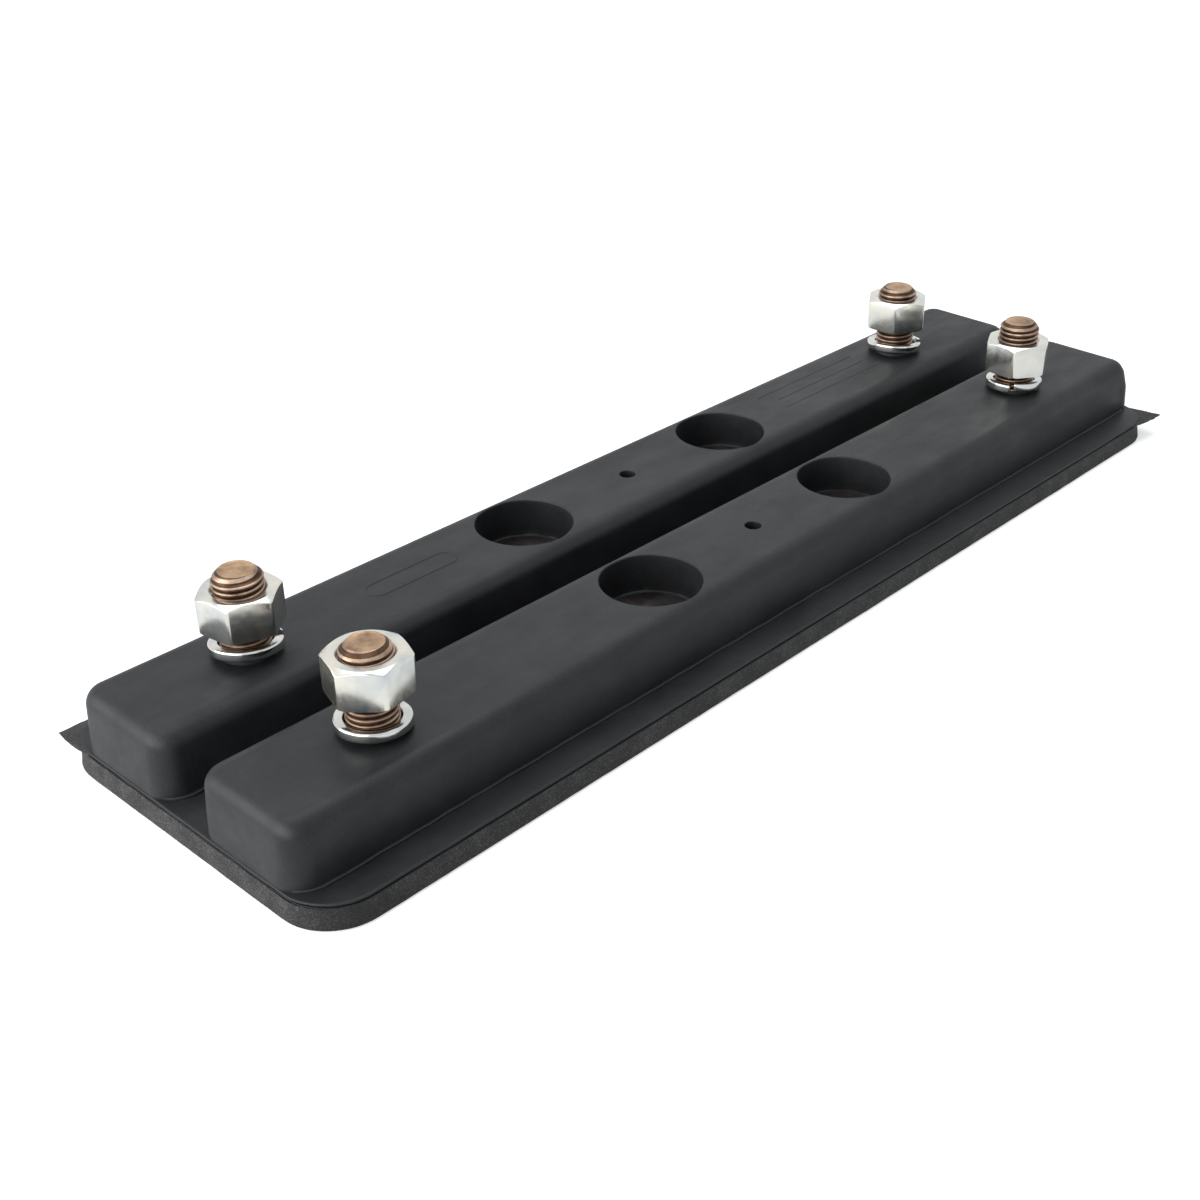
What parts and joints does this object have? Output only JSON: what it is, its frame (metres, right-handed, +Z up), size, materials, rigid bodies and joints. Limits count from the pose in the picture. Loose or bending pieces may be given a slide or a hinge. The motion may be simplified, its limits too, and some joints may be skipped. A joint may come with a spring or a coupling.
{
  "type": "bolt-on rubber pad",
  "caption": "Long moulded rubber track shoe pad with a flat tread slab, raised rounded bars with a channel between them, recesses, and threaded studs with nuts and spring washers.",
  "frame": {"origin": "middle of the tread face, at its level", "axes": "+X along the pad, +Y across it, +Z up through the studs"},
  "size_m": [0.452, 0.133, 0.0595],
  "materials": {
    "rubber": "satin moulded, grainy tread band",
    "core_steel": "dull bare steel",
    "stud_steel": "yellow passivated thread",
    "zinc_steel": "bright zinc plated"
  },
  "bodies": {
    "root": {"rubber_pad": "rubber", "core_bar_far": "core_steel", "core_bar_near": "core_steel", "stud_a": "stud_steel", "stud_b": "stud_steel", "stud_c": "stud_steel", "stud_d": "stud_steel", "nut_a": "zinc_steel", "nut_b": "zinc_steel", "nut_c": "zinc_steel", "nut_d": "zinc_steel", "spring_washer_a": "zinc_steel", "spring_washer_b": "zinc_steel", "spring_washer_c": "zinc_steel", "spring_washer_d": "zinc_steel"}
  },
  "joints": []
}
